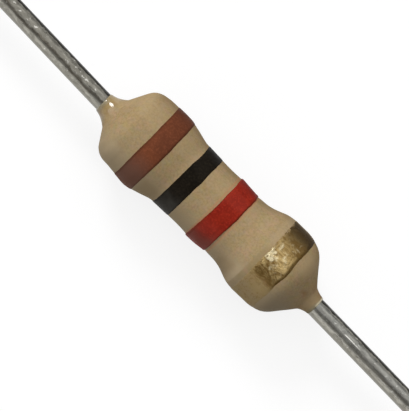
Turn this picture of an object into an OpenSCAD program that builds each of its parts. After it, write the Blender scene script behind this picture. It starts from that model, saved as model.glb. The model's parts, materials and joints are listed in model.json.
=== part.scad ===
// Quarter-watt axial carbon film resistor, as supplied, lying on a flat surface.
// A ceramic rod carries a carbon film that a spiral cut trims to its value. A drawn steel cup
// is pressed over each end, a tinned wire is welded to each cup, and the whole is dipped in a
// resin coating that thins at the waist and climbs the wires. Four paint rings lie on it.
// X runs along the rod, towards the tolerance ring. Z is up, and Z = 0 is the surface below.

/* [Ceramic rod] */
// Diameter of the rod
core_d = 1.7; // [1.3:0.05:2.2]
// Length of the rod
core_len = 5; // [4.2:0.1:7]

/* [Carbon film] */
// Thickness of the film
film_t = 0.025; // [0.015:0.005:0.05]
// Width of the spiral cut through the film
kerf_w = 0.12; // [0.08:0.01:0.2]
// Film from each end of the spiral cut's line to the nearer cup
kerf_margin = 0.47; // [0.2:0.01:0.8]
// Turns of the spiral cut
kerf_turns = 4.5; // [2:0.25:6]

/* [End cups] */
// Side wall of the cup
cup_wall = 0.18; // [0.12:0.01:0.25]
// Closed end of the cup
cup_end = 0.2; // [0.12:0.01:0.3]
// Length of the cup outside
cup_len = 1.15; // [0.8:0.05:1.5]
// Rounding of the cup's outer corner
cup_corner = 0.25; // [0.1:0.01:0.35]

/* [Wires] */
// Diameter of the wire
wire_d = 0.52; // [0.4:0.01:0.65]
// Length of the wire past its bend
wire_len = 28; // [10:0.5:35]
// How far each wire is bent off the rod's line in plan, left and right
wire_turn = [2.3, 1.7]; // [0.5:0.1:4]
// Radius of that bend
bend_r = 2; // [1:0.1:3]
// How far the bend starts past the coating's end
bend_out = 0.03; // [0:0.01:0.3]
// How far each weld lies off the middle of its cup, left and right
weld_off = [-0.05, -0.025]; // [-0.08:0.005:0.08]
// Diameter of the upset metal at the weld
weld_d = 0.8; // [0.7:0.02:1]
// Thickness of the upset metal at the weld
weld_t = 0.1; // [0.05:0.01:0.2]

/* [Coating] */
// Coating over each cup, left and right
coat_cup_t = [0.14, 0.13]; // [0.1:0.005:0.2]
// Coating over the film at the middle
coat_waist_t = 0.09; // [0.05:0.005:0.15]
// How much thicker it is where it starts to climb, left and right
climb_t = [0.03, 0]; // [0:0.005:0.06]
// Where the coating starts to climb, before each cup's rim, left and right
climb_start = [0.4, 0.38]; // [0.3:0.01:0.5]
// Where it reaches the bulge, past each cup's rim, left and right
climb_end = [0.28, 0.17]; // [0.1:0.01:0.4]
// Rounding where the climb starts, left and right
waist_round = [0.8, 1.3]; // [0.4:0.1:1.5]
// Rounding of each bulge, left and right
bulge_round = [1.2, 1]; // [0.4:0.05:1.3]
// How far each shoulder lies past its cup's end, left and right
shoulder_out = [0.21, 0.07]; // [0.05:0.01:0.4]
// How far each shoulder lies below the bulge, left and right
shoulder_drop = [0.09, 0.01]; // [0:0.01:0.12]
// Rounding of each shoulder, left and right
shoulder_round = [0.5, 0.95]; // [0.3:0.05:1.1]
// Steepness of the coating's ends, left and right
flank_slope = [60, 50]; // [45:1:65]
// Radius of the hollow curve where the coating runs out onto each wire, left and right
neck_round = [0.85, 0.7]; // [0.4:0.05:1.1]
// How far that curve cuts into the coating's steep end
neck_bite = 0.03; // [0.01:0.01:0.06]
// Thickness of the coating where that curve would run level with the wire
edge_t = 0.01; // [0.005:0.005:0.03]
// How far before there the coating ends, left and right
edge_short = [0.12, 0.05]; // [0:0.01:0.2]

/* [Colour rings] */
// How far the middle of the first and the last ring lies past its cup's rim
end_ring_past = [0.4, 0.71]; // [0.2:0.01:1]
// Middle of the second and the third ring from the middle of the rod
mid_ring_at = [-0.79, 0.44]; // [-1:0.01:1]
// Width of each ring: first, second, third and last
ring_w = [0.58, 0.5, 0.63, 0.66]; // [0.3:0.01:0.9]
// Thickness of each ring's paint
ring_t = [0.015, 0.01, 0.03, 0.01]; // [0.01:0.005:0.05]

/* [Hidden] */

LEFT = 0;
RIGHT = 1;
BROWN = 0;
BLACK = 1;
RED = 2;
GOLD = 3;

core_r = core_d / 2;
film_r = core_r + film_t;
cup_r = film_r + cup_wall;
cup_x = core_len / 2 + cup_end;
rim_x = cup_x - cup_len;
wire_r = wire_d / 2;
waist_r = film_r + coat_waist_t;
bulge_r = [for (t = coat_cup_t) cup_r + t];
kerf_run = 2 * (rim_x - kerf_margin);
ring_at = [-rim_x - end_ring_past[LEFT], each mid_ring_at, rim_x + end_ring_past[RIGHT]];
// Where each shoulder of the coating would have its corner: distance from the cup's end, radius
shoulder = [for (side = [LEFT, RIGHT]) [shoulder_out[side], bulge_r[side] - shoulder_drop[side]]];
// The coating's steep ends run on into the wires as far as this radius, so nothing shows of them
nose_r = wire_r / 2;
// Radius of the hollow curve where it runs level with the wire, and that place's distance from the
// cup's end. The curve would just touch the steep end, but bites deeper by as much as the weld is off
// the middle, so that no ledge shows on either side.
level_r = wire_r + edge_t;
level_x = [for (side = [LEFT, RIGHT])
    let (slope = flank_slope[side],
         foot = shoulder[side].x + (shoulder[side].y - level_r) / tan(slope),
         bite = neck_bite + abs(weld_off[side]) / tan(slope))
    foot + neck_round[side] * tan(slope / 2) - bite];
// Where the coating ends on each wire, from the cup's end
neck_end = level_x - edge_short;
// Cuts run this far past what they cut
past = 0.05;
// Arcs of the outline step by about this angle
arc_step = 4;

// -1 on the left and 1 on the right
function sign_of(side) = side == LEFT ? -1 : 1;
function unit(v) = v / norm(v);
function turned(from, to) = (to - from + 540) % 360 - 180;

// The corner b, between a and c, as points on an arc of radius r that meets both its sides
function rounded(a, b, c, r) =
    let (u = unit(a - b),
         v = unit(c - b),
         half = acos(u * v) / 2,
         middle = b + unit(u + v) * r / sin(half),
         p = b + u * r / tan(half) - middle,
         q = b + v * r / tan(half) - middle,
         start = atan2(p.y, p.x),
         sweep = turned(start, atan2(q.y, q.x)),
         n = ceil(abs(sweep) / arc_step))
    [for (i = [0:n]) middle + r * [cos(start + sweep * i / n), sin(start + sweep * i / n)]];

// Corners of the coating's outline on one side of the waist, from the waist to the nose:
// radius, distance from the middle, rounding
function corners(side) =
    let (x = cup_x + shoulder[side].x,
         r = shoulder[side].y)
    [[waist_r + climb_t[side], rim_x - climb_start[side], waist_round[side]],
     [bulge_r[side], rim_x + climb_end[side], bulge_round[side]],
     [r, x, shoulder_round[side]],
     [nose_r, x + (r - nose_r) / tan(flank_slope[side]), 0]];

// One half of the outline: radius and distance from the middle, from the waist to the nose
function half_outline(side) =
    let (c = corners(side),
         flat = [for (k = c) [k[0], k[1]]])
    [each rounded([waist_r, 0], flat[0], flat[1], c[0][2]),
     each rounded(flat[0], flat[1], flat[2], c[1][2]),
     each rounded(flat[1], flat[2], flat[3], c[2][2]),
     flat[3]];

function flipped(points) = [for (i = [len(points) - 1:-1:0]) [points[i][0], -points[i][1]]];

// The outline from nose to nose
outline = concat(flipped(half_outline(LEFT)), half_outline(RIGHT));
// Whether a ring covers a distance along the rod, and the thickness of paint there
function covers(ring, x) = abs(x - ring_at[ring]) <= ring_w[ring] / 2;
function paint_at(x) = max([for (ring = [BROWN:GOLD]) covers(ring, x) ? ring_t[ring] : 0]);
// The part rests on the highest point of its painted outline
rest_r = max([for (p = outline) p[0] + paint_at(p[1])]);
// How far each wire slopes down, so that its tip touches the surface that the bulges rest on
droop = asin(rest_r / norm([wire_len, wire_r])) - atan(wire_r / wire_len);
// The whole angle of each bend: the turn in plan and the slope together
bend = [for (turn = wire_turn) acos(cos(droop) * cos(turn))];
// The length that each bend's arc takes off the straight stretches, and its corner from the cup's end
bend_cut = [for (angle = bend) bend_r * tan(angle / 2)];
bend_x = neck_end + [bend_out, bend_out] + bend_cut;
// How much thinner the wire is in its bend, and how far the arc laps into the straight stretches
bend_thin = 0.004;
bend_lap = 0.03;

// Children that are built along Z lie along the rod's axis
module on_axis() {
    translate([0, 0, rest_r]) rotate([0, 90, 0]) children();
}

// Children that point along Z start in the middle of a weld and point outwards
module on_weld(side) {
    translate([sign_of(side) * cup_x, weld_off[side], rest_r])
        rotate([0, sign_of(side) * 90, 0])
            children();
}

module core_form() {
    on_axis() cylinder(h = core_len, d = core_d, center = true, $fn = 96);
}

module ceramic_core() {
    color("ivory") core_form();
}

// The spiral cut: a square thread that reaches from inside the film to outside it
module kerf() {
    steps = 20;
    n = ceil(kerf_turns * steps);
    inside = core_r - past;
    outside = film_r + past;
    section = [[inside, -kerf_w / 2], [outside, -kerf_w / 2], [outside, kerf_w / 2], [inside, kerf_w / 2]];
    points = [for (i = [0:n], s = section)
        let (turn = 360 * kerf_turns * i / n)
        [s[0] * cos(turn), s[0] * sin(turn), kerf_run * (i / n - 0.5) + s[1]]];
    walls = [for (i = [0:n - 1], k = [0:3])
        [4 * i + (k + 1) % 4, 4 * i + 4 + (k + 1) % 4, 4 * i + 4 + k, 4 * i + k]];
    polyhedron(points, [each walls, [3, 2, 1, 0], [4 * n, 4 * n + 1, 4 * n + 2, 4 * n + 3]]);
}

module film_form() {
    on_axis() difference() {
        cylinder(h = core_len, r = film_r, center = true, $fn = 96);
        cylinder(h = core_len + 2 * past, r = core_r, center = true, $fn = 96);
        kerf();
    }
}

module carbon_film() {
    color("dimgray") film_form();
}

// A drawn cup: its closed end against the rod's end, its wall over the film
module cup_form(side) {
    translate([0, 0, rest_r]) rotate([0, sign_of(side) * 90, 0]) rotate_extrude($fn = 96)
        difference() {
            translate([0, rim_x]) union() {
                square([cup_r, cup_len - cup_corner]);
                square([cup_r - cup_corner, cup_len]);
                translate([cup_r - cup_corner, cup_len - cup_corner]) circle(r = cup_corner, $fn = 48);
            }
            square([film_r, core_len / 2]);
            translate([-cup_r, 0]) square([cup_r, cup_x]);
        }
}

module end_cap_left() {
    color("silver") cup_form(LEFT);
}

module end_cap_right() {
    color("silver") cup_form(RIGHT);
}

// An arc of wire from the start of its bend, along Z, towards +X. It is thinner than the wire, so
// that its ends run on inside the straight stretches.
module bend_form(angle) {
    lap = bend_lap / bend_r * 180 / PI;
    translate([bend_r, 0, 0]) mirror([1, 0, 0]) rotate([90, 0, 0]) rotate([0, 0, -lap])
        rotate_extrude(angle = angle + 2 * lap, $fn = 96)
            translate([bend_r, 0]) circle(r = wire_r - bend_thin, $fn = 96);
}

// A wire: its upset metal at the weld, the stretch in the coating, the bend and the free length
module lead_form(side) {
    outwards = sign_of(side);
    before = bend_x[side] - bend_cut[side];
    on_weld(side) {
        cylinder(h = weld_t, d = weld_d, $fn = 96);
        cylinder(h = before, d = wire_d, $fn = 96);
        // +X is the way that the wire bends: down, and towards its own side in plan
        rotate([0, 0, atan2(-outwards * cos(droop) * sin(wire_turn[side]), outwards * sin(droop))]) {
            translate([0, 0, before]) bend_form(bend[side]);
            translate([0, 0, bend_x[side]]) rotate([0, bend[side], 0]) translate([0, 0, bend_cut[side]])
                cylinder(h = wire_len - bend_cut[side], d = wire_d, $fn = 96);
        }
    }
}

module lead_left() {
    color("gainsboro") lead_form(LEFT);
}

module lead_right() {
    color("gainsboro") lead_form(RIGHT);
}

// The area inside the outline, made thicker by a paint's thickness where it is given
module outline_form(paint = 0) {
    raised = [for (p = outline) [p[0] + paint, p[1]]];
    first = outline[0];
    last = outline[len(outline) - 1];
    polygon([[0, first[1]], each raised, [0, last[1]]]);
}

// The hollow curve of coating around a wire, as far round as the slope of the steep end
module neck_form(side) {
    reach = level_r + neck_round[side];
    start = level_x[side] - neck_round[side] * sin(flank_slope[side]);
    on_weld(side) rotate_extrude($fn = 96) difference() {
        translate([0, start]) square([reach, neck_end[side] - start]);
        translate([reach, level_x[side]]) circle(r = neck_round[side], $fn = 96);
    }
}

module coating() {
    color("tan") difference() {
        union() {
            on_axis() rotate_extrude($fn = 96) outline_form();
            neck_form(LEFT);
            neck_form(RIGHT);
        }
        core_form();
        film_form();
        cup_form(LEFT);
        cup_form(RIGHT);
        lead_form(LEFT);
        lead_form(RIGHT);
    }
}

// A ring of paint on the coating
module ring_form(ring) {
    on_axis() rotate_extrude($fn = 96) difference() {
        intersection() {
            outline_form(ring_t[ring]);
            translate([0, ring_at[ring] - ring_w[ring] / 2]) square([2 * rest_r, ring_w[ring]]);
        }
        outline_form();
    }
}

module brown_band() {
    color("saddlebrown") ring_form(BROWN);
}

module black_band() {
    color("black") ring_form(BLACK);
}

module red_band() {
    color("red") ring_form(RED);
}

module gold_band() {
    color("goldenrod") ring_form(GOLD);
}

ceramic_core();
carbon_film();
end_cap_left();
end_cap_right();
lead_left();
lead_right();
coating();
brown_band();
black_band();
red_band();
gold_band();
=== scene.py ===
"""An axial carbon film resistor on a pale floor: coating, paint rings and wires, with their materials.

Metres, in the CAD frame: X along the rod towards the gold ring, Z up, the floor at Z = 0.
Shapes are worked out in millimetres and made metres in grid_mesh().
"""
import json
import math
import bpy
import numpy as np
from mathutils import Matrix, Vector, noise


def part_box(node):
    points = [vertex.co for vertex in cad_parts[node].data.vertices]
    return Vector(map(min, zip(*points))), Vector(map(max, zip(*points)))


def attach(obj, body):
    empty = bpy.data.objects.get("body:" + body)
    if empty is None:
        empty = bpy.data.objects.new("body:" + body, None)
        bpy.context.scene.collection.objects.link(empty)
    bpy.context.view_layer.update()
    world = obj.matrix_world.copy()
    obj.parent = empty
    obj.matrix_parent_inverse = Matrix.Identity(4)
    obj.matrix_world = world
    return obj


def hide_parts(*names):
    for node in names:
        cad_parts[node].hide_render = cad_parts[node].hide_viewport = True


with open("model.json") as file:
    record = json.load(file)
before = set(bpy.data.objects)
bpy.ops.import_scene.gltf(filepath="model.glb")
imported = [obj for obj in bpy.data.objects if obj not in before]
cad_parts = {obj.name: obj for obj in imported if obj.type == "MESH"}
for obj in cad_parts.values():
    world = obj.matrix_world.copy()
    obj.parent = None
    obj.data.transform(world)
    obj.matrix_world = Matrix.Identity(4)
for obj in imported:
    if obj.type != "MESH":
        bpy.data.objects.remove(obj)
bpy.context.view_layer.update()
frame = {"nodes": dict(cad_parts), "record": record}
MM = 0.001
LEFT, RIGHT = 0, 1
SIGN = (-1, 1)

# Sizes, in millimetres


def box_mm(node):
    """A CAD node's lowest and highest corner."""
    low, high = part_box(node)
    return low / MM, high / MM


CORE_LOW, CORE_HIGH = box_mm("ceramic_core")
AXIS_Z = (CORE_LOW.z + CORE_HIGH.z) / 2
FILM_LOW, FILM_HIGH = box_mm("carbon_film")
FILM_R = (FILM_HIGH.z - FILM_LOW.z) / 2
CUP_LOW, CUP_HIGH = box_mm("end_cap_right")
CUP_R = (CUP_HIGH.z - CUP_LOW.z) / 2
RIM_X, CUP_X = CUP_LOW.x, CUP_HIGH.x
COAT_LOW, COAT_HIGH = box_mm("coating")
COAT_END = (-COAT_LOW.x, COAT_HIGH.x)

# The coating's outline, left and right: the same corners and roundings as its solid has
OVER_CUP = (0.14, 0.13)
WAIST_R = FILM_R + 0.09
CLIMB = (0.03, 0)
CLIMB_START = (0.4, 0.38)
CLIMB_END = (0.28, 0.17)
WAIST_ROUND = (0.8, 1.3)
BULGE_ROUND = (1.2, 1.0)
SHOULDER_OUT = (0.21, 0.07)
SHOULDER_DROP = (0.09, 0.01)
SHOULDER_ROUND = (0.5, 0.95)
SLOPE = (math.radians(60), math.radians(50))
NECK_ROUND = (0.85, 0.7)
NOSE_R = 0.13
# The coating's edge on the wires: how thick it is where it would run level, how far before there it
# ends, and the bead along it
EDGE_T = 0.01
EDGE_SHORT = (0.12, 0.05)
BEAD_T = 0.003
BEAD_W = 0.09
# How wide the rounding at that edge is, and its rings: how far under the surface and how far out
LIP_W = 0.012
LIP_RINGS = ((0.09, 0.0), (0.03, 0.0), (0.012, LIP_W * 0.7))
# How far the coating's middle lies off the rod's, in Y, at places along X
OFF_AT = (-3.3, -2.95, -2.5, -1.9, -1.2, 0.4, 1.3, 1.8, 2.3, 3.0, 3.3, 3.5)
OFF_BY = (-0.055, 0.004, 0.026, -0.003, 0.02, -0.006, 0.007, 0.006, 0.01, -0.022, -0.026, -0.012)
# Where the resin is a little fuller: X, half its length and how much
FULLER = ((-3.0, 0.4, 0.013), (-2.4, 0.22, 0.01), (-1.35, 0.3, 0.013),
          (0.16, 0.25, 0.022), (0.7, 0.14, -0.018), (2.85, 0.2, 0.024))
# How far its surface sinks at the most, between high spots
UNEVEN = 0.007
# How many points its outline has, and how many of them a corner is softened over, each way
OUTLINE_POINTS = 2401
SOFTEN = 10
# How far apart in its noise the patterns of wave() lie
SEED_STEP = 17.3

MOUNTS = {mount["name"]: mount for mount in frame["record"]["mounts"]}
WIRE_R = MOUNTS["left_lead"]["dims"]["r_mm"]
BEND_R = 2.0
# The wires end this much short of their solids' tips, which keeps them inside the CAD box
TIP_SHORT = 0.002
# The sheared tips: how far back from the end each ring lies and how much thinner it is
CHAMFER = 0.03
TIP_RINGS = ((CHAMFER, 0), (CHAMFER * 0.4, 0.008), (0.004, 0.03), (0.0, 0.07), (0.0, 0.17))
# How deep the dents and the lengthwise ridges of the wires are
WIRE_DENT = 0.003
WIRE_RIDGE = 0.0015
# The paint rings: how wide their rounded edges are and how far those reach under the surface
PAINT_SOFT = 0.05
PAINT_UNDER = 0.02
# How far the gold ring's right edge bows out where it is on top and underneath, and half how wide
GOLD_BOW = 0.035
BOW_HALF = 0.18

# How many rows each mesh has along it and how many points round it. A wire's are those inside the
# coating, in the bend and along the rest
COAT_ROWS, COAT_AROUND = 330, 192
RING_ACROSS, RING_AROUND = 36, 288
WIRE_INSIDE, WIRE_BENT, WIRE_ROWS, WIRE_AROUND = 6, 9, 200, 80


def rounded(a, b, c, radius, steps=40):
    """The corner b, between a and c, as points on an arc that meets both its sides."""
    a, b, c = (np.array(p, float) for p in (a, b, c))
    u, v = (a - b) / np.linalg.norm(a - b), (c - b) / np.linalg.norm(c - b)
    half = math.acos(np.clip(u @ v, -1, 1)) / 2
    middle = b + (u + v) / np.linalg.norm(u + v) * radius / math.sin(half)
    p, q = b + u * radius / math.tan(half) - middle, b + v * radius / math.tan(half) - middle
    start = math.atan2(p[1], p[0])
    sweep = (math.atan2(q[1], q[0]) - start + 3 * math.pi) % (2 * math.pi) - math.pi
    angles = start + sweep * np.linspace(0, 1, steps)
    return [tuple(middle + radius * np.array([math.cos(t), math.sin(t)])) for t in angles]


def half_outline(side):
    """Distance from the middle and radius, from the waist to the nose."""
    bulge = CUP_R + OVER_CUP[side]
    shoulder = (CUP_X + SHOULDER_OUT[side], bulge - SHOULDER_DROP[side])
    nose = (shoulder[0] + (shoulder[1] - NOSE_R) / math.tan(SLOPE[side]), NOSE_R)
    flat = [(0, WAIST_R), (RIM_X - CLIMB_START[side], WAIST_R + CLIMB[side]),
            (RIM_X + CLIMB_END[side], bulge), shoulder, nose]
    rounding = (WAIST_ROUND[side], BULGE_ROUND[side], SHOULDER_ROUND[side])
    points = [flat[0]]
    for i, radius in enumerate(rounding):
        points += rounded(flat[i], flat[i + 1], flat[i + 2], radius)
    return points + [nose]


OUTLINES = [np.array(half_outline(side)) for side in (LEFT, RIGHT)]


def plain_radius(x):
    """The coating's radius at distances x along the rod, its hollow necks included."""
    x = np.asarray(x, float)
    radius = np.zeros_like(x)
    for side in (LEFT, RIGHT):
        d = x * SIGN[side]
        here = d >= 0
        body = np.interp(d, OUTLINES[side][:, 0], OUTLINES[side][:, 1], right=0)
        level = COAT_END[side] + EDGE_SHORT[side]
        back = np.clip(level - d, 0, NECK_ROUND[side] * math.sin(SLOPE[side]))
        hollow = np.sqrt(NECK_ROUND[side] ** 2 - back ** 2)
        neck = WIRE_R + EDGE_T + NECK_ROUND[side] - hollow
        bead = BEAD_T * np.exp(-((COAT_END[side] - d - BEAD_W / 2) / (BEAD_W / 2)) ** 2)
        radius = np.where(here, np.maximum(body, neck + bead), radius)
    return radius


def smooth_radius(xs):
    """The coating's radius at the places xs, with its corners softened and its fuller places."""
    kernel = np.exp(-np.linspace(-2, 2, 2 * SOFTEN + 1) ** 2)
    radius = np.convolve(np.pad(plain_radius(xs), SOFTEN, "edge"), kernel / kernel.sum(), "valid")
    for at, half, more in FULLER:
        radius += more * np.exp(-((xs - at) / half) ** 2)
    return radius


SMOOTH_X = np.linspace(-COAT_END[LEFT], COAT_END[RIGHT], OUTLINE_POINTS)
SMOOTH_R = smooth_radius(SMOOTH_X)


def wave(x, y, z, seed):
    """Smooth noise from -1 to 1. Each seed gives a pattern of its own."""
    return noise.noise(Vector((x, y, z + SEED_STEP * seed)))


def unevenness(x, turn):
    """How far the coating's surface lies below its highest, in millimetres."""
    y, z = math.sin(turn), math.cos(turn)
    broad = wave(x * 0.7, y * 0.9, z * 0.9, 1)
    fine = wave(x * 2.3, y * 2.6, z * 2.6, 2)
    return UNEVEN * (0.5 + 0.42 * broad + 0.18 * fine)


def coat_point(x, turn, lift=0.0):
    """A point on the coating. turn is 0 at the top and a quarter turn towards +Y."""
    radius = float(np.interp(x, SMOOTH_X, SMOOTH_R)) - unevenness(x, turn) + lift
    off = float(np.interp(x, OFF_AT, OFF_BY))
    return (x, off + radius * math.sin(turn), AXIS_Z + radius * math.cos(turn))


# Meshes


def grid_mesh(name, rows, joined=False):
    """A smooth mesh from rings of points in millimetres. The ends are closed, or joined to each other."""
    count, around = len(rows), len(rows[0])
    verts = [tuple(c * MM for c in p) for row in rows for p in row]
    faces = []
    for i in range(count if joined else count - 1):
        a, b = i * around, ((i + 1) % count) * around
        for j in range(around):
            k = (j + 1) % around
            faces.append((a + j, b + j, b + k, a + k))
    if not joined:
        faces.append(tuple(range(around)))
        faces.append(tuple((count - 1) * around + j for j in reversed(range(around))))
    mesh = bpy.data.meshes.new(name)
    mesh.from_pydata(verts, [], faces)
    mesh.shade_smooth()
    mesh.update()
    piece = bpy.data.objects.new(name, mesh)
    bpy.context.scene.collection.objects.link(piece)
    return piece


def finish_piece(piece, material, node):
    """A piece stands for its CAD node, rides on the part and wears its material."""
    piece.data.materials.append(material)
    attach(piece, "root")
    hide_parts(node)
    return piece


def turns(count):
    """Angles spaced evenly all round."""
    return [2 * math.pi * j / count for j in range(count)]


def along_outline(count):
    """Distances along the rod, spaced evenly along the coating's outline."""
    run = np.concatenate([[0], np.cumsum(np.hypot(np.diff(SMOOTH_X), np.diff(SMOOTH_R)))])
    return np.interp(np.linspace(0, run[-1], count), run, SMOOTH_X)


def coat_lip(end, edge, angles):
    """The rings of the coating's rounded edge on a wire, from under the wire's surface outwards."""
    return [[coat_point(edge - SIGN[end] * (LIP_W - out), t, -sink) for t in angles]
            for sink, out in LIP_RINGS]


def build_coat():
    """The dipped coating, with a rounded edge that runs out onto each wire."""
    xs = along_outline(COAT_ROWS)
    angles = turns(COAT_AROUND)
    rows = coat_lip(LEFT, xs[0], angles)
    rows += [[coat_point(x, t) for t in angles] for x in xs[1:-1]]
    rows += coat_lip(RIGHT, xs[-1], angles)[::-1]
    return grid_mesh("coating_shell", rows)


def ring_edges(low, high, turn, waves, skew, smear, bow):
    """The X of a paint ring's left and right edge at one angle."""
    y, z = math.sin(turn), math.cos(turn)
    sway0 = wave(y * 1.7, z * 1.7, 3.1, 5 + low.x) + 0.3 * wave(y * 7, z * 7, 1, 6)
    sway1 = wave(y * 1.7, z * 1.7, 9.4, 7 + low.x) + 0.3 * wave(y * 7, z * 7, 4, 8)
    x0 = low.x - smear + skew * y + waves * sway0
    x1 = high.x + skew * y + waves * sway1
    x1 += bow * math.exp(-(y / BOW_HALF) ** 2)
    return x0, x1


def build_ring(name, node, material, paint_t, waves, skew, smear=0.0, bow=0.0):
    """A paint ring: a thin closed shell over the coating, paint_t thick, with rounded edges.

    Its edges wander by waves and slew by skew, the left one lies smear further out, and the right one
    bows out by bow.
    """
    low, high = box_mm(node)
    columns = []
    for turn in turns(RING_AROUND):
        y, z = math.sin(turn), math.cos(turn)
        x0, x1 = ring_edges(low, high, turn, waves, skew, smear, bow)
        column = [coat_point(x0, turn, -PAINT_UNDER)]
        for k in range(RING_ACROSS + 1):
            x = x0 + (x1 - x0) * (0.5 - 0.5 * math.cos(math.pi * k / RING_ACROSS))
            edge = min(max(min(x - x0, x1 - x), 0) / PAINT_SOFT, 1)
            rise = math.sqrt(1 - (1 - edge) ** 2)
            dents = 0.8 + 0.2 * wave(x * 3, y * 4, z * 4, 9)
            column.append(coat_point(x, turn, paint_t * rise * dents))
        column.append(coat_point(x1, turn, -PAINT_UNDER))
        columns.append(column)
    rows = [list(row) for row in zip(*columns)]
    return finish_piece(grid_mesh(name, rows, joined=True), material, node)


def wire_path(mount):
    """Weld, corner and tip of a wire's line, in millimetres, from its mount's straight stretch."""
    middle, out = Vector(mount["pos_m"]) / MM, Vector(mount["axis"]).normalized()
    tip = middle + out * (mount["dims"]["length_mm"] / 2 - TIP_SHORT)
    corner = middle - out * (middle.z - AXIS_Z) / out.z
    side = LEFT if out.x < 0 else RIGHT
    return Vector((SIGN[side] * CUP_X, corner.y, AXIS_Z)), corner, tip


def build_wire(name, mount, material, node):
    """A tinned wire swept along its line through the bend to a sheared tip."""
    start, corner, tip = wire_path(mount)
    first, second = (corner - start).normalized(), (tip - corner).normalized()
    bend = first.angle(second)
    cut = BEND_R * math.tan(bend / 2)
    bow = (second - first * first.dot(second)).normalized()
    inside = (corner - start).length - cut
    straight = (tip - corner).length - cut
    steps = list(np.linspace(0, inside, WIRE_INSIDE))
    steps += list(inside + np.linspace(0, 1, WIRE_BENT)[1:] * BEND_R * bend)
    bent = steps[-1]
    steps += list(bent + straight * np.linspace(0, 1, WIRE_ROWS)[1:] ** 1.5)
    total = steps[-1]
    side_way = first.cross(bow)

    def ring(s, radius):
        """The wire's points round its line at the distance s from the weld."""
        if s <= inside:
            centre, way = start + first * s, first
        elif s <= bent:
            a = (s - inside) / BEND_R
            centre = start + first * (inside + BEND_R * math.sin(a)) + bow * BEND_R * (1 - math.cos(a))
            way = first * math.cos(a) + bow * math.sin(a)
        else:
            centre, way = tip - second * (total - s), second
        up = side_way.cross(way)
        points = []
        for t in turns(WIRE_AROUND):
            dent = 0.5 + 0.5 * wave(s * 0.9, 1.4 * math.sin(t), 1.4 * math.cos(t), 11)
            ridge = 0.5 + 0.5 * wave(s * 0.12, 5 * math.sin(t), 5 * math.cos(t), 12)
            r = radius - WIRE_DENT * dent - WIRE_RIDGE * ridge
            points.append(tuple(centre + up * r * math.sin(t) + side_way * r * math.cos(t)))
        return points

    rows = [ring(s, WIRE_R) for s in steps if s < total - CHAMFER]
    rows += [ring(total - back, WIRE_R - drop) for back, drop in TIP_RINGS]
    return finish_piece(grid_mesh(name, rows), material, node)


# Materials


def linear(red, green, blue):
    """A colour written in 0 to 255 as screens show it, made linear."""
    parts = [c / 255 for c in (red, green, blue)]
    parts = [c / 12.92 if c <= 0.04045 else ((c + 0.055) / 1.055) ** 2.4 for c in parts]
    return (*parts, 1.0)


def scaled(colour, factor, more=0.0):
    """A colour made lighter or darker."""
    return tuple(min(255, c * factor + more) for c in colour)


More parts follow.
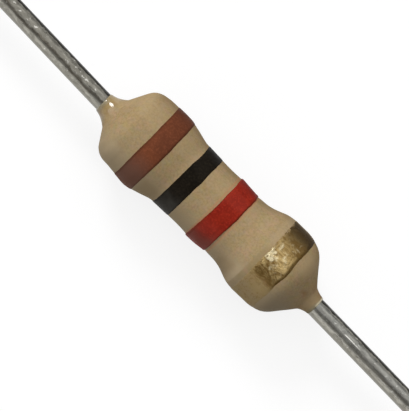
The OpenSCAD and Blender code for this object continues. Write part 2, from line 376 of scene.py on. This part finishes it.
class Finish:
    """A node material, built one step at a time."""

    def __init__(self, name):
        self.material = bpy.data.materials.new(name)
        self.material.use_nodes = True
        self.tree = self.material.node_tree
        self.shader = self.tree.nodes["Principled BSDF"]
        self.coords = self.tree.nodes.new("ShaderNodeTexCoord").outputs["Object"]

    def put(self, socket, value):
        """Link a socket to the value, or set it."""
        if isinstance(value, bpy.types.NodeSocket):
            self.tree.links.new(value, socket)
        else:
            socket.default_value = value

    def set(self, **values):
        """Set or link the shader's own sockets."""
        for name, value in values.items():
            self.put(self.shader.inputs[name.replace("_", " ")], value)

    def math(self, kind, *values):
        """One step of arithmetic."""
        made = self.tree.nodes.new("ShaderNodeMath")
        made.operation = kind
        for socket, value in zip(made.inputs, values):
            self.put(socket, value)
        return made.outputs[0]

    def part(self, axis):
        """One coordinate in millimetres."""
        made = self.tree.nodes.new("ShaderNodeSeparateXYZ")
        self.put(made.inputs[0], self.coords)
        return self.math("MULTIPLY", made.outputs[axis], 1 / MM)

    def stretched(self, x, y, z):
        """Coordinates in millimetres, each times a factor."""
        made = self.tree.nodes.new("ShaderNodeVectorMath")
        made.operation = "MULTIPLY"
        self.put(made.inputs[0], self.coords)
        made.inputs[1].default_value = (x / MM, y / MM, z / MM)
        return made.outputs[0]

    def noise(self, x, y, z, detail=3.0, rough=0.5, distort=0.0):
        """Noise with so many patches a millimetre along each axis."""
        made = self.tree.nodes.new("ShaderNodeTexNoise")
        self.put(made.inputs["Vector"], self.stretched(x, y, z))
        made.inputs["Scale"].default_value = 1.0
        made.inputs["Detail"].default_value = detail
        made.inputs["Roughness"].default_value = rough
        made.inputs["Distortion"].default_value = distort
        return made.outputs["Fac"]

    def ramp(self, value, low, high, out_low=0.0, out_high=1.0):
        """A value between low and high, as a smooth step between two others."""
        made = self.tree.nodes.new("ShaderNodeMapRange")
        made.interpolation_type = "SMOOTHSTEP"
        for socket, given in zip(made.inputs, (value, low, high, out_low, out_high)):
            self.put(socket, given)
        return made.outputs[0]

    def band(self, value, start, full, full_end, end):
        """1 from full to full_end, and 0 before start and after end."""
        return self.times(self.ramp(value, start, full), self.ramp(value, end, full_end))

    def times(self, *values):
        """All the values multiplied."""
        product = values[0]
        for value in values[1:]:
            product = self.math("MULTIPLY", product, value)
        return product

    def plus(self, value, other, share=1.0):
        """A value with another, or a share of it, added."""
        if share != 1.0:
            other = self.math("MULTIPLY", other, share)
        return self.math("ADD", value, other)

    def apart(self, value, at):
        """How far a value lies from a number."""
        return self.math("ABSOLUTE", self.math("SUBTRACT", value, at))

    def facing(self, axis):
        """How far the surface faces along one of the part's axes, from 1 to -1."""
        split = self.tree.nodes.new("ShaderNodeSeparateXYZ")
        self.put(split.inputs[0], self.tree.nodes.new("ShaderNodeNewGeometry").outputs["Normal"])
        return split.outputs[axis]

    def mix(self, amount, *colours):
        """Two colours mixed, each a socket or written in 0 to 255: none of the second at 0, all at 1."""
        made = self.tree.nodes.new("ShaderNodeMix")
        made.data_type = "RGBA"
        self.put(made.inputs["Factor"], amount)
        for socket, colour in zip(made.inputs[6:8], colours):
            self.put(socket, linear(*colour) if isinstance(colour, tuple) else colour)
        return made.outputs[2]

    def bump(self, height, depth):
        """Bumps so many millimetres deep."""
        made = self.tree.nodes.new("ShaderNodeBump")
        made.inputs["Strength"].default_value = 1.0
        made.inputs["Distance"].default_value = depth * MM
        self.put(made.inputs["Height"], height)
        self.put(self.shader.inputs["Normal"], made.outputs[0])


# How little the matt resin and paints shine: 0.5 is ordinary gloss
DULL = 0.03

BUFF = (164, 142, 105)
BUFF_DEEP = (158, 135, 98)
BUFF_PALE = (182, 158, 120)
BUFF_DARK = (138, 116, 84)
BUFF_ROSE = (171, 140, 112)
BUFF_OLIVE = (155, 141, 95)
BUFF_WARM = (171, 143, 95)
BUFF_GREY = (158, 142, 117)
# A cooler painted sheen for the -Y side, then colours for painted shade and painted light on the resin
BUFF_COOL = (166, 148, 119)
BUFF_PAINTED_SHADE = (136, 122, 100)
BUFF_PAINTED_LIGHT = (186, 166, 134)
# The resin where it thins out over the wires
COAT_THIN = (133, 127, 105)
# Where red paint has bled, and how far beside the red ring
RED_BLEED = (182, 128, 92)
BLEED_OFF = 0.035
# The clear film beside the gold flakes, and the X where it starts
GOLD_FILM = (153, 134, 96)
FILM_ROSE = (166, 136, 106)
FILM_AT = 1.71
# The resin round the left wire and round the right one, and a painted highlight on its lip there
AMBER = (160, 136, 90)
AMBER_DEEP = (140, 114, 68)
RUST = (160, 138, 104)
RUST_DEEP = (146, 118, 84)
LIP = (214, 204, 172)
# A faint brown smudge on the resin beside the right wire, and its X and Y
SMUDGE = (138, 104, 70)
SMUDGE_AT = (3.25, 0.02)


def resin_base(f, tint):
    """Buff, a little cloudy, in patches of other hues, with a fine pale and dark grain."""
    clouds = f.noise(0.7, 0.9, 0.9, detail=4)
    buff = f.mix(f.ramp(clouds, 0.35, 0.65), BUFF_DEEP, BUFF)
    buff = f.mix(f.ramp(tint, 0.5, 0.66, 0, 0.75), buff, BUFF_ROSE)
    buff = f.mix(f.ramp(tint, 0.48, 0.34, 0, 0.65), buff, BUFF_OLIVE)
    grain = f.noise(18, 18, 18, detail=2, rough=0.6)
    buff = f.mix(f.ramp(grain, 0.4, 0.75, 0, 0.45), buff, BUFF_PALE)
    buff = f.mix(f.ramp(grain, 0.5, 0.28, 0, 0.45), buff, BUFF_DARK)
    hue = f.noise(6.2, 7, 7, detail=4, rough=0.65)
    buff = f.mix(f.ramp(hue, 0.5, 0.64, 0, 0.35), buff, BUFF_WARM)
    return f.mix(f.ramp(hue, 0.5, 0.36, 0, 0.4), buff, BUFF_GREY)


def resin_sides(f, buff, x, y, tint):
    """A cooler painted sheen towards -Y, painted light down the +Y side and painted shade along its edge."""
    # A cooler painted sheen towards -Y, in patches
    buff = f.mix(f.ramp(f.plus(y, tint, 0.3), -0.05, -0.85), buff, BUFF_COOL)
    facing = f.facing("Y")
    # Painted light down the +Y side
    high_side = f.times(f.band(facing, 0.2, 0.35, 0.65, 0.8), f.ramp(x, 1.2, 0.6, 0.1, 0.28))
    buff = f.mix(high_side, buff, BUFF_PALE)
    # Painted shade along the +Y edge
    return f.mix(f.ramp(facing, 0.82, 0.95, 0, 0.55), buff, BUFF_DARK)


def resin_marks(f, buff, x, y):
    """Painted shade and painted light, by X and Y, where the lamps alone leave the resin too pale or too
    dark.
    """
    # Painted shade in the hollows by the waist, towards -Y
    hollows = f.times(f.band(f.math("ABSOLUTE", x), 0.95, 1.2, 1.5, 1.75), f.ramp(y, -0.6, -0.8), 0.4)
    buff = f.mix(hollows, buff, BUFF_DARK)
    # Painted light on the left flank, towards -Y
    left_flank = f.times(f.band(x, -2.95, -2.8, -2.64, -2.52), f.ramp(y, -0.5, -0.65), 0.4)
    buff = f.mix(left_flank, buff, BUFF_PAINTED_LIGHT)
    # Painted light on the right shoulder, towards +Y
    lit = f.times(f.band(x, 2.55, 2.85, 2.95, 3.15), f.band(y, 0.1, 0.5, 0.7, 1.0), 0.7)
    buff = f.mix(lit, buff, BUFF_PALE)
    # Painted shade over the right end, towards -Y
    painted_shade_right = f.times(f.ramp(x, 2.5, 2.9), f.ramp(y, 0.3, -0.8), 0.8)
    buff = f.mix(painted_shade_right, buff, BUFF_PAINTED_SHADE)
    # A painted highlight on the right climb beside the gold film, towards -Y
    painted_light_climb = f.times(f.band(x, 1.42, 1.66, FILM_AT - 0.02, FILM_AT + 0.02), f.ramp(y, -0.35, -0.85), 0.75)
    return f.mix(painted_light_climb, buff, BUFF_PAINTED_LIGHT)


def resin_film(f, buff, x, y):
    """The gold paint's clear film where wear has taken off its flakes, and a strip of painted light beside
    it.
    """
    filmed = f.times(f.band(x, FILM_AT - 0.02, FILM_AT + 0.03, 2.5, 2.6), f.ramp(y, 0.45, 0.0),
                     f.ramp(y, -1.0, -0.65, 0.5, 1.0), f.ramp(f.noise(9, 9, 9), 0.35, 0.65, 0.45, 0.85))
    film = f.mix(f.ramp(f.noise(3.5, 4, 4, detail=3), 0.45, 0.62), GOLD_FILM, FILM_ROSE)
    buff = f.mix(filmed, buff, film)
    # A strip of painted light on the +Y side
    strip = f.times(f.band(x, FILM_AT - 0.1, FILM_AT + 0.03, 2.4, 2.6), f.ramp(y, 0.1, 0.4), 0.28)
    return f.mix(strip, buff, BUFF_PAINTED_LIGHT)


def resin_beside_red(f, buff, x):
    """A faint line along both edges of the red ring, where its paint has bled."""
    low, high = box_mm("red_band")
    for at in (low.x - BLEED_OFF, high.x + BLEED_OFF):
        buff = f.mix(f.ramp(f.apart(x, at), 0.05, 0.01, 0, 0.5), buff, RED_BLEED)
    return buff


def resin_necks(f, buff, x, y):
    """Amber round the left wire, rusty and smudged round the right one, thin at both edges."""
    left_end, right_end = -COAT_END[LEFT], COAT_END[RIGHT]
    spots = f.noise(3, 3, 3, detail=3)
    amber = f.mix(f.ramp(spots, 0.42, 0.6), AMBER, AMBER_DEEP)
    buff = f.mix(f.ramp(x, left_end + 0.45, left_end + 0.1, 0, 0.9), buff, amber)
    rust = f.mix(f.ramp(spots, 0.4, 0.62), RUST, RUST_DEEP)
    buff = f.mix(f.ramp(x, right_end - 0.6, right_end - 0.2, 0, 0.65), buff, rust)
    off_x, off_y = f.apart(x, SMUDGE_AT[0]), f.apart(y, SMUDGE_AT[1])
    away = f.math("SQRT", f.plus(f.math("POWER", off_x, 2), f.math("POWER", off_y, 2)))
    buff = f.mix(f.ramp(f.plus(away, spots, 0.2), 0.26, 0.12, 0, 0.6), buff, SMUDGE)
    thin = f.math("MAXIMUM", f.ramp(x, left_end + 0.14, left_end + 0.02),
                  f.ramp(x, right_end - 0.14, right_end - 0.02))
    thin = f.times(thin, f.ramp(f.plus(y, spots, 0.2), 0.2, 0.05, 0.25, 0.75))
    return f.mix(thin, buff, COAT_THIN)


def coat_colour(f):
    """The resin's colour all over, and how glossy it is: glossy only at the two wires."""
    left_end, right_end = -COAT_END[LEFT], COAT_END[RIGHT]
    x, y = f.part("X"), f.part("Y")
    tint = f.noise(4.5, 5, 5, detail=4, rough=0.6)
    buff = resin_sides(f, resin_base(f, tint), x, y, tint)
    buff = resin_film(f, resin_marks(f, buff, x, y), x, y)
    buff = resin_necks(f, resin_beside_red(f, buff, x), x, y)
    # A painted highlight along the lip at the right wire, which is also made glossy
    lip = f.times(f.ramp(x, right_end - 0.07, right_end - 0.03), f.ramp(y, -0.06, 0.04, 0, 0.9))
    gloss = f.math("MAXIMUM", f.ramp(x, left_end + 0.42, left_end + 0.2), lip)
    return f.mix(lip, buff, LIP), gloss


def coat_finish():
    """The cured resin: matt, with a fine unevenness."""
    f = Finish("buff_resin")
    colour, gloss = coat_colour(f)
    f.set(Base_Color=colour, Roughness=f.ramp(f.noise(2, 2, 2), 0.3, 0.7, 0.56, 0.64), IOR=1.5,
          Specular_IOR_Level=DULL, Coat_Weight=gloss, Coat_Roughness=0.08, Coat_IOR=1.6)
    f.bump(f.noise(5, 5, 5, detail=3), 0.006)
    return f.material


def paint_finish(name, node, colour, shade, sheen_colour_minus_y, edge, rough, grain, sheen):
    """A ring's paint: colour and shade in patches, with a pale and dark grain as strong as grain.

    On the upper -Y side it takes its third colour, a painted reflection; a paler painted sheen runs down
    both sides, painted shade along the +Y edge, and edge along its rims.
    """
    f = Finish(name)
    low, high = box_mm(node)
    patches = f.ramp(f.noise(1.6, 1.6, 1.6, detail=4), 0.35, 0.68)
    body = f.mix(patches, colour, shade)
    specks = f.noise(18, 18, 18, detail=2, rough=0.6)
    body = f.mix(f.ramp(specks, 0.48, 0.72, 0, grain), body, scaled(colour, 1.4, 12))
    body = f.mix(f.ramp(specks, 0.5, 0.3, 0, grain), body, scaled(colour, 0.7))
    # A painted reflection of the third colour on the upper -Y side
    painted_sheen_minus_y = f.times(f.ramp(f.plus(f.part("Y"), patches, 0.3), -0.15, -0.8),
                   f.ramp(f.part("Z"), AXIS_Z, AXIS_Z + 0.4))
    body = f.mix(painted_sheen_minus_y, body, sheen_colour_minus_y)
    # A paler painted sheen down both sides, and painted shade along the +Y edge
    facing = f.facing("Y")
    both_sides = f.times(f.band(f.math("ABSOLUTE", facing), 0.2, 0.4, 0.6, 0.75), sheen)
    body = f.mix(both_sides, body, scaled(colour, 1.2, 40))
    body = f.mix(f.ramp(facing, 0.82, 0.95, 0, 0.4), body, scaled(shade, 0.6))
    middle, half = (low.x + high.x) / 2, (high.x - low.x) / 2
    rim = f.ramp(f.apart(f.part("X"), middle), half - 0.07, half, 0, 0.6)
    body = f.mix(rim, body, edge)
    f.set(Base_Color=body, Roughness=f.ramp(f.noise(4, 3, 3), 0.3, 0.7, rough - 0.06, rough + 0.06),
          IOR=1.5, Specular_IOR_Level=DULL)
    f.bump(f.noise(7, 5, 5, detail=3), 0.006)
    return f.material


GOLD = (206, 178, 122)
GOLD_DEEP = (130, 102, 56)
GOLD_BRIGHT = (246, 230, 188)
GOLD_RIM = (94, 71, 32)
# Painted shade for the ring's +Y end
GOLD_FAR = (58, 44, 24)
GOLD_THIN = (160, 136, 90)


def gold_finish():
    """Metallic flake paint: brightest on top as a painted highlight, thinned by wear to the resin towards
    -Y, and painted shade towards +Y, darkest at its +Y end.
    """
    f = Finish("gold_flake_paint")
    low, high = box_mm("gold_band")
    coat, _ = coat_colour(f)
    x, y = f.part("X"), f.part("Y")
    streaks = f.noise(2.2, 4.5, 4.5, detail=6, rough=0.7, distort=0.7)
    flakes = f.noise(13, 10, 10, detail=3, rough=0.6)
    glints = f.noise(6.5, 5.5, 5.5, detail=3, rough=0.55)
    patches = f.noise(1.7, 2.2, 2.2, detail=2)
    # The zones: the worn side, the dark end (painted shade), the brightest patch (a painted highlight) and
    # the middle of the ring (painted light)
    near = f.ramp(f.plus(y, patches, 0.3), 0.0, -0.2)
    height = f.plus(f.part("Z"), streaks, 0.6)
    far = f.times(f.ramp(f.plus(y, streaks, 0.5), 0.84, 1.3), f.ramp(height, AXIS_Z + 0.1, AXIS_Z + 0.7))
    highlight_patch = f.times(f.ramp(x, low.x + 0.34, low.x + 0.1), f.band(y, -0.08, 0.06, 0.24, 0.42))
    middle = f.times(f.band(y, -0.4, -0.15, 0.2, 0.4), f.ramp(x, 2.16, 2.32), 0.06)
    # The flakes' colour, with painted light in the middle and painted shade towards +Y, glints painted
    # brighter on the brightest patch, and dark gaps
    gold = f.mix(f.ramp(f.plus(streaks, middle), 0.4, 0.62), GOLD_DEEP, GOLD)
    gold = f.mix(f.ramp(y, 0.12, 0.5, 0, 0.45), gold, GOLD_DEEP)
    shine = f.plus(f.plus(f.plus(glints, highlight_patch, 0.16), near, -0.15), far, -0.3)
    gold = f.mix(f.ramp(shine, 0.5, 0.76), gold, GOLD_BRIGHT)
    gold = f.mix(f.ramp(flakes, 0.44, 0.36, 0, 0.4), gold, GOLD_RIM)
    # How far the flakes cover the resin: ragged on the left, thinning out on the worn side
    ragged = f.plus(f.math("SUBTRACT", x, low.x), flakes, -0.4)
    cover = f.times(f.ramp(ragged, -0.3, -0.22), f.ramp(f.plus(y, patches, 0.6), -0.34, -0.06))
    # The dark rim follows the bowed right edge
    bowed = f.ramp(f.math("ABSOLUTE", y), 0.25, 0.04, 0, GOLD_BOW)
    from_edge = f.math("SUBTRACT", f.plus(x, streaks, 0.14), bowed)
    rim = f.ramp(from_edge, high.x - 0.04, high.x + 0.03, 0, 0.85)
    gold = f.mix(f.math("MAXIMUM", rim, f.times(near, 0.25)), gold, GOLD_RIM)
    # Painted shade at the +Y end
    gold = f.mix(f.times(far, 0.95), gold, GOLD_FAR)
    # The resin under worn flakes
    thin = f.mix(f.ramp(f.noise(3, 3, 3), 0.35, 0.65, 0.35, 0.7), coat, GOLD_THIN)
    thin = f.mix(f.ramp(flakes, 0.52, 0.66, 0, 0.4), thin, GOLD_DEEP)
    metal = f.times(cover, f.ramp(far, 0, 1, 0.9, 0.15))
    smooth = f.plus(f.ramp(flakes, 0.3, 0.7, 0.1, 0.3), highlight_patch, 0.08)
    f.set(Base_Color=f.mix(cover, thin, gold), Metallic=metal, IOR=1.5, Specular_IOR_Level=DULL,
          Roughness=f.math("SUBTRACT", 0.6, f.times(metal, smooth)))
    f.bump(f.times(f.plus(streaks, flakes, 0.8), cover), 0.022)
    return f.material


TIN = (155, 152, 142)
TIN_DEEP = (112, 109, 101)
TIN_LIGHT = (180, 177, 166)
TIN_BRIGHT = (226, 224, 216)
TIN_DULL = (134, 131, 122)
TIN_COOL = (150, 153, 153)
TIN_SHADE = (26, 24, 17)
# Tarnish, and the painted dark reflection of the streak along the wires
TARNISH_AND_DARK_REFLECTION = (88, 78, 64)
# A painted glint along the right wire, its X and how far its surface faces +Y
TIN_GLINT = (238, 236, 229)
GLINT_AT = 4.95
GLINT_FACING = 0.18


def wire_finish():
    """Tinned steel: mottled and tarnished, with painted reflections along it: a wavy dark streak, paler
    bands, a glint, and duller down both sides.
    """
    f = Finish("tinned_steel")
    streaks = f.noise(0.6, 4, 4, detail=4, rough=0.55, distort=0.5)
    mottle = f.noise(5, 7, 7, detail=4, rough=0.6)
    flecks = f.noise(9, 12, 12, detail=2)
    x, facing = f.part("X"), f.facing("Y")
    on_left, on_right = f.ramp(x, 1, -1), f.ramp(x, -1, 1)
    # Where round the wire: from 1 at +Y to -1 at -Y, a little ragged, and wavier for the dark streak
    side = f.plus(facing, f.ramp(mottle, 0.3, 0.7, -0.06, 0.06))
    wavy = f.plus(side, f.ramp(f.noise(1.3, 1.3, 1.3, detail=2), 0.3, 0.7, -0.12, 0.12))
    # Pale sides and a darker band on the left wire, all painted reflections, dark mottling, tarnish streaks,
    # and bright flecks, painted more often where the light is reflected
    upper = f.times(f.ramp(side, 0.12, 0.4), on_right, 0.75)
    tin = f.mix(f.math("MAXIMUM", upper, f.ramp(side, -0.28, -0.44)), TIN, TIN_LIGHT)
    tin = f.mix(f.ramp(mottle, 0.58, 0.36, 0, 0.55), tin, TIN_DEEP)
    tin = f.mix(f.times(f.band(side, -0.02, 0.15, 0.3, 0.46), on_left, 0.45), tin, TIN_DEEP)
    tin = f.mix(f.ramp(streaks, 0.52, 0.7, 0, 0.4), tin, TARNISH_AND_DARK_REFLECTION)
    more = f.times(f.ramp(f.apart(side, 0.2), 0.35, 0.1, 0, 0.06), f.ramp(x, 1, -1, 0.3, 1))
    tin = f.mix(f.ramp(f.plus(flecks, more), 0.64, 0.74, 0, 0.8), tin, TIN_BRIGHT)
    # The dark streak, a painted dark reflection, and the lighter and cooler lines beside it on the right
    # wire, painted reflections too
    left_line = f.times(f.band(wavy, -0.38, -0.24, -0.12, 0.06), on_left, 0.5)
    right_line = f.times(f.band(wavy, -0.25, -0.03, 0.1, 0.34), on_right, 0.5)
    tin = f.mix(f.math("MAXIMUM", left_line, right_line), tin, TARNISH_AND_DARK_REFLECTION)
    tin = f.mix(f.times(f.band(side, -0.58, -0.46, -0.4, -0.26), on_right, 0.3), tin, TIN_BRIGHT)
    tin = f.mix(f.times(f.band(side, -0.3, -0.05, 0.6, 0.7), on_right, 0.35), tin, TIN_COOL)
    # A painted glint along the right wire
    painted_glint = f.times(f.ramp(f.apart(x, GLINT_AT), 0.45, 0.1),
                      f.ramp(f.apart(facing, GLINT_FACING), 0.08, 0.02), f.ramp(mottle, 0.35, 0.55))
    tin = f.mix(painted_glint, tin, TIN_GLINT)
    # Painted shade along the +Y edge, on top only, and a duller painted reflection along the -Y edge
    painted_dark_edge = f.times(f.ramp(side, 0.7, 0.8, 0, 0.98), f.ramp(f.facing("Z"), 0.1, 0.22))
    tin = f.mix(painted_dark_edge, tin, TIN_SHADE)
    tin = f.mix(f.ramp(side, -0.6, -0.8, 0, 0.9), tin, TIN_DULL)
    f.set(Base_Color=tin, Metallic=1.0, Roughness=f.ramp(mottle, 0.3, 0.7, 0.26, 0.38))
    f.bump(f.plus(streaks, mottle, 0.9), 0.02)
    return f.material


CERAMIC = (226, 220, 206)
CERAMIC_PALE = (238, 233, 222)
CARBON = (44, 43, 45)
CARBON_PALE = (62, 61, 64)
STEEL = (150, 150, 150)
STEEL_PALE = (178, 177, 174)


def hidden_finish(name, first, second, clouds, relief, depth, **values):
    """Two close colours in clouds, with bumps depth deep. clouds and relief say how fine each is."""
    f = Finish(name)
    f.set(Base_Color=f.mix(f.ramp(f.noise(*clouds), 0.3, 0.7), first, second), **values)
    f.bump(f.noise(*relief), depth)
    return f


def hidden_finishes():
    """Materials for what the coating hides: ceramic, carbon film and the steel cups."""
    ceramic = hidden_finish("fired_ceramic", CERAMIC, CERAMIC_PALE, (3, 3, 3), (14, 14, 14), 0.006,
                            Roughness=0.62)
    carbon = hidden_finish("carbon_film", CARBON, CARBON_PALE, (5, 5, 5), (18, 18, 18), 0.003,
                           Roughness=0.5)
    cup = hidden_finish("drawn_steel", STEEL, STEEL_PALE, (1, 6, 6), (0.8, 12, 12), 0.006, Metallic=1.0)
    cup.set(Roughness=cup.ramp(cup.noise(1, 9, 9), 0.3, 0.7, 0.26, 0.4))
    return {"ceramic_core": (ceramic.material, "ceramic"), "carbon_film": (carbon.material, "carbon"),
            "end_cap_left": (cup.material, "cap_metal"), "end_cap_right": (cup.material, "cap_metal")}


# Floor, light and camera, in metres

FLOOR_ALBEDO = 0.22
FLOOR_GLOW = 0.82
FLOOR_HALF = 4.0
# Just under the wires' tips, so that they don't share a plane with it
FLOOR_Z = -2e-6
AIM = Vector((-0.05, -0.147, AXIS_Z)) * MM

WORLD = 0.31
KEY_FROM = (-0.66, 0.48, 0.58)
KEY = 0.455
SIDE_FROM = (-1.0, 0.0, 0.3)
SIDE = 0.4
OVERHEAD_FROM = (0.0, 0.5, 0.86)
OVERHEAD = 0.3
FRONT_FROM = (0.0, -0.93, 0.33)
FRONT = 0.175

LENS = 395.5
SENSOR = 36.0
CLIP_START = 0.005
CAMERA_AWAY = 114 * MM
CAMERA_TILT = math.radians(2.3)
PART_TURN = math.radians(44.2)


def seen_rays(tree):
    """1 for rays that show the background: from the camera, off gloss or through clear things."""
    path = tree.nodes.new("ShaderNodeLightPath")
    total = path.outputs["Is Camera Ray"]
    for name in ("Is Glossy Ray", "Is Transmission Ray"):
        add = tree.nodes.new("ShaderNodeMath")
        add.operation, add.use_clamp = "ADD", True
        tree.links.new(total, add.inputs[0])
        tree.links.new(path.outputs[name], add.inputs[1])
        total = add.outputs[0]
    return total


def build_floor():
    """A wide, plain, pale floor."""
    mesh = bpy.data.meshes.new("floor")
    corners = [(x * FLOOR_HALF, y * FLOOR_HALF, FLOOR_Z) for x, y in ((-1, -1), (1, -1), (1, 1), (-1, 1))]
    mesh.from_pydata(corners, [], [(0, 1, 2, 3)])
    floor = bpy.data.objects.new("floor", mesh)
    bpy.context.scene.collection.objects.link(floor)
    f = Finish("pale_floor")
    glow = f.times(seen_rays(f.tree), FLOOR_GLOW)
    f.set(Base_Color=(FLOOR_ALBEDO,) * 3 + (1.0,), Roughness=1.0, Emission_Color=(1, 1, 1, 1),
          Emission_Strength=glow, Specular_IOR_Level=0.0)
    mesh.materials.append(f.material)


def build_world(strength):
    """Even, soft light from all round, and a white background where no floor is."""
    world = bpy.data.worlds.new("studio")
    world.use_nodes = True
    bpy.context.scene.world = world
    tree = world.node_tree
    shade = tree.nodes["Background"]
    path = tree.nodes.new("ShaderNodeLightPath")
    level = tree.nodes.new("ShaderNodeMapRange")
    tree.links.new(path.outputs["Is Camera Ray"], level.inputs["Value"])
    level.inputs["To Min"].default_value = strength
    level.inputs["To Max"].default_value = 1.0
    tree.links.new(level.outputs[0], shade.inputs["Strength"])
    shade.inputs["Color"].default_value = (1, 1, 1, 1)


def build_lamp(name, towards, away, width, height, level):
    """A soft lamp in a direction from the part. level 1 lights a surface that faces it to its own colour."""
    data = bpy.data.lights.new(name, "AREA")
    data.shape, data.size, data.size_y = "RECTANGLE", width, height
    data.energy = level * math.pi ** 2 * away ** 2
    lamp = bpy.data.objects.new(name, data)
    towards = Vector(towards).normalized()
    lamp.location = AIM + towards * away
    lamp.rotation_euler = towards.to_track_quat("Z", "Y").to_euler()
    lamp.visible_camera = False
    bpy.context.scene.collection.objects.link(lamp)


def build_lights():
    """Four large soft lamps and an even surround."""
    build_world(WORLD)
    build_lamp("key", KEY_FROM, away=0.8, width=0.24, height=0.24, level=KEY)
    build_lamp("side", SIDE_FROM, away=0.9, width=0.8, height=0.8, level=SIDE)
    build_lamp("overhead", OVERHEAD_FROM, away=0.9, width=1.0, height=1.0, level=OVERHEAD)
    build_lamp("front", FRONT_FROM, away=0.9, width=1.2, height=0.6, level=FRONT)


def build_camera():
    """Straight above, a little towards the left wire, and turned so that the part lies aslant."""
    data = bpy.data.cameras.new("camera")
    data.lens, data.sensor_width, data.clip_start = LENS, SENSOR, CLIP_START
    camera = bpy.data.objects.new("camera", data)
    bpy.context.scene.collection.objects.link(camera)
    back = Vector((-math.sin(CAMERA_TILT), 0, math.cos(CAMERA_TILT)))
    along = Vector((math.cos(PART_TURN), math.sin(PART_TURN), 0))
    right = (along - back * along.dot(back)).normalized()
    up = back.cross(right)
    camera.matrix_world = Matrix((
        (right.x, up.x, back.x, 0), (right.y, up.y, back.y, 0), (right.z, up.z, back.z, 0), (0, 0, 0, 1)))
    camera.location = AIM + back * CAMERA_AWAY
    bpy.context.scene.camera = camera


# The part


def build_rings():
    """The four paint rings: brown, black, red and gold."""
    brown = paint_finish("brown_paint", "brown_band", colour=(118, 66, 43), shade=(104, 58, 39),
                         sheen_colour_minus_y=(112, 78, 64), edge=(68, 38, 22), rough=0.55, grain=0.17, sheen=0.0)
    build_ring("brown_ring", "brown_band", brown, paint_t=0.015, waves=0.02, skew=0.01)
    black = paint_finish("black_paint", "black_band", colour=(21, 17, 11), shade=(30, 25, 19),
                         sheen_colour_minus_y=(66, 63, 58), edge=(24, 19, 11), rough=0.5, grain=0.6, sheen=0.08)
    build_ring("black_ring", "black_band", black, paint_t=0.012, waves=0.03, skew=0.03)
    red = paint_finish("red_paint", "red_band", colour=(147, 40, 25), shade=(130, 33, 23),
                       sheen_colour_minus_y=(128, 68, 58), edge=(92, 34, 15), rough=0.5, grain=0.24, sheen=0.12)
    build_ring("red_ring", "red_band", red, paint_t=0.04, waves=0.03, skew=0.02)
    build_ring("gold_ring", "gold_band", gold_finish(), paint_t=0.008, waves=0.04, skew=0.0,
               smear=0.07, bow=GOLD_BOW)


def build_part():
    """Every visible piece, and materials on the solids that the coating hides."""
    finish_piece(build_coat(), coat_finish(), "coating")
    build_rings()
    wire = wire_finish()
    build_wire("wire_left", MOUNTS["left_lead"], wire, "lead_left")
    build_wire("wire_right", MOUNTS["right_lead"], wire, "lead_right")
    for node, (material, slot) in hidden_finishes().items():
        held = frame["nodes"][node]
        held.data.materials.clear()
        held.data.materials.append(material)


def write_sizes():
    bpy.context.view_layer.update()


build_part()
build_floor()
build_lights()
build_camera()
bpy.context.scene.view_settings.view_transform = "Standard"
write_sizes()
